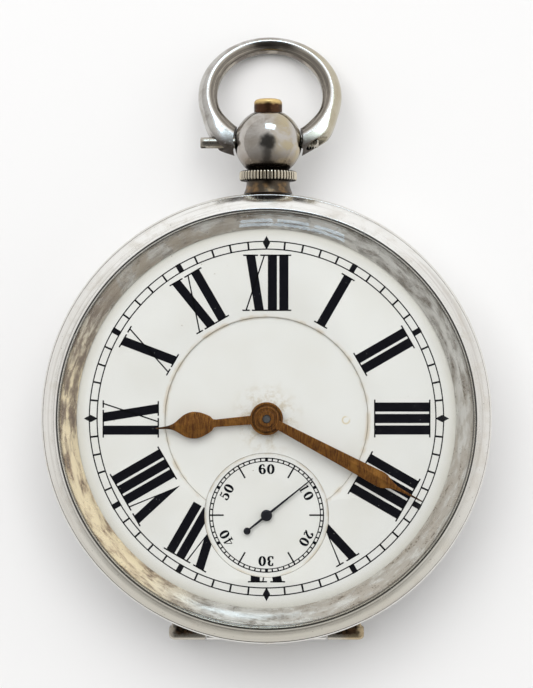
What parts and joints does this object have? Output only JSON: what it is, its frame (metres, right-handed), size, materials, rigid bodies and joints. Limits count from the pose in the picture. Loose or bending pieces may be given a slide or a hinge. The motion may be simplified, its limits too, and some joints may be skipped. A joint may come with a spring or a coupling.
{
  "type": "open face pocket watch",
  "caption": "Key-wound silver open face pocket watch with hinged back and dust cover, swinging bow, push-piece pendant, enamel dial and geared movement.",
  "frame": {"origin": "centre of the flat of the back cover, on the dial axis, with the watch lying on its back", "axes": "+Z out of the dial, +Y towards 12 o'clock and the bow, +X towards 3 o'clock"},
  "size_m": [0.054, 0.074, 0.0162],
  "materials": {
    "silver": "polished",
    "glass": "polished",
    "cuvette_brass": "satin",
    "push_brass": "satin",
    "steel": "satin",
    "blued_steel": "gloss",
    "black_steel": "satin",
    "enamel": "gloss",
    "rusty_hands": "matte",
    "gilt": "satin",
    "ruby": "polished"
  },
  "bodies": {
    "case": {"case_band": "silver", "pendant": "silver", "milled_collar": "silver", "hinge_pin": "steel", "fly_spring": "blued_steel", "dial": "enamel", "dial_centre": "enamel", "seconds_dial": "enamel", "main_plate": "gilt", "train_plate": "gilt", "pillar_1": "gilt", "pillar_2": "gilt", "pillar_3": "gilt", "plate_screw_1": "blued_steel", "plate_screw_2": "blued_steel", "plate_screw_3": "blued_steel", "case_screw_1": "blued_steel", "case_screw_2": "blued_steel", "pallet_cock": "gilt", "hairspring": "blued_steel", "balance_cock": "gilt", "balance_endstone": "ruby", "cock_screw": "blued_steel", "click_spring": "steel"},
    "front": {"bezel": "silver", "crystal": "glass"},
    "back": {"back_cover": "silver"},
    "dust_cover": {"cuvette": "cuvette_brass"},
    "bow": {"bow": "silver", "bow_screw": "steel"},
    "push": {"push_piece": "push_brass"},
    "lock": {"lock_spring": "blued_steel"},
    "minute": {"centre_wheel": "gilt", "cannon_pinion": "steel", "minute_hand": "rusty_hands"},
    "hour": {"hour_wheel": "gilt", "hour_hand": "rusty_hands"},
    "minute_work": {"minute_wheel": "gilt"},
    "third": {"third_wheel": "gilt"},
    "seconds": {"fourth_wheel": "gilt", "seconds_hand": "black_steel"},
    "escape": {"escape_wheel": "steel"},
    "barrel": {"barrel": "gilt", "barrel_cover": "gilt", "mainspring": "steel"},
    "winding": {"barrel_arbor": "steel", "ratchet_wheel": "steel"},
    "click": {"click": "steel"},
    "lever": {"pallet_lever": "steel"},
    "balance": {"balance_wheel": "gilt", "balance_staff": "steel"},
    "regulator": {"regulator": "steel"}
  },
  "joints": [
    {"name": "bow_swing", "type": "hinge", "parent": "case", "child": "bow", "pos_m": [0.0002, 0.03318, 0.0083], "axis": [1, 0, 0], "range_deg": [-104, 167]},
    {"name": "push_press", "type": "slide", "parent": "case", "child": "push", "axis": [0, -1, 0], "range_m": [0, 0.0009], "stiffness_N_per_m": 3000, "springref_m": -0.001},
    {"name": "lock_release", "type": "hinge", "parent": "case", "child": "lock", "pos_m": [0.01135, 0.01966, 0.006], "axis": [0, 0, 1], "range_deg": [0, 4.6]},
    {"name": "bezel_lift", "type": "slide", "parent": "case", "child": "front", "axis": [0, 0, 1], "range_m": [0, 0.012]},
    {"name": "back_open", "type": "hinge", "parent": "case", "child": "back", "pos_m": [0, -0.0263, 0.0048], "axis": [-1, 0, 0], "range_deg": [0, 105]},
    {"name": "cuvette_open", "type": "hinge", "parent": "case", "child": "dust_cover", "pos_m": [0, -0.0263, 0.0048], "axis": [-1, 0, 0], "range_deg": [0, 84]},
    {"name": "minute_turn", "type": "hinge", "parent": "case", "child": "minute", "pos_m": [0, 0, 0.009], "axis": [0, 0, -1], "continuous": true},
    {"name": "hour_turn", "type": "hinge", "parent": "case", "child": "hour", "pos_m": [0, 0, 0.01], "axis": [0, 0, -1], "continuous": true},
    {"name": "minute_work_turn", "type": "hinge", "parent": "case", "child": "minute_work", "pos_m": [0.00451, 0.00164, 0.0097], "axis": [0, 0, -1], "continuous": true},
    {"name": "third_turn", "type": "hinge", "parent": "case", "child": "third", "pos_m": [0.00328, -0.00641, 0.007], "axis": [0, 0, -1], "continuous": true},
    {"name": "seconds_turn", "type": "hinge", "parent": "case", "child": "seconds", "pos_m": [0, -0.01157, 0.007], "axis": [0, 0, -1], "continuous": true},
    {"name": "escape_turn", "type": "hinge", "parent": "case", "child": "escape", "pos_m": [-0.00506, -0.01341, 0.007], "axis": [0, 0, -1], "continuous": true},
    {"name": "barrel_turn", "type": "hinge", "parent": "case", "child": "barrel", "pos_m": [0.00239, 0.00893, 0.0065], "axis": [0, 0, -1], "continuous": true},
    {"name": "winding_turn", "type": "hinge", "parent": "case", "child": "winding", "pos_m": [0.00239, 0.00893, 0.004], "axis": [0, 0, 1], "continuous": true},
    {"name": "click_lift", "type": "hinge", "parent": "case", "child": "click", "pos_m": [-0.00174, 0.00742, 0.0041], "axis": [0, 0, 1], "range_deg": [0, 8]},
    {"name": "lever_rock", "type": "hinge", "parent": "case", "child": "lever", "pos_m": [-0.00718, -0.01038, 0.0067], "axis": [0, 0, 1], "range_deg": [-5, 5]},
    {"name": "balance_swing", "type": "hinge", "parent": "case", "child": "balance", "pos_m": [-0.00942, -0.00718, 0.005], "axis": [0, 0, 1], "range_deg": [-270, 270]},
    {"name": "regulator_turn", "type": "hinge", "parent": "case", "child": "regulator", "pos_m": [-0.00942, -0.00718, 0.0032], "axis": [0, 0, 1], "range_deg": [-22, 8]}
  ],
  "couplings": [
    {"joint": "lock_release", "follows": "push_press", "rad_per_m": 88},
    {"joint": "cuvette_open", "follows": "back_open", "ratio": 0.8},
    {"joint": "hour_turn", "follows": "minute_turn", "ratio": 0.083333},
    {"joint": "minute_work_turn", "follows": "minute_turn", "ratio": -0.33333},
    {"joint": "third_turn", "follows": "minute_turn", "ratio": -8},
    {"joint": "seconds_turn", "follows": "minute_turn", "ratio": 60},
    {"joint": "escape_turn", "follows": "minute_turn", "ratio": -600},
    {"joint": "barrel_turn", "follows": "minute_turn", "ratio": -0.16667}
  ]
}
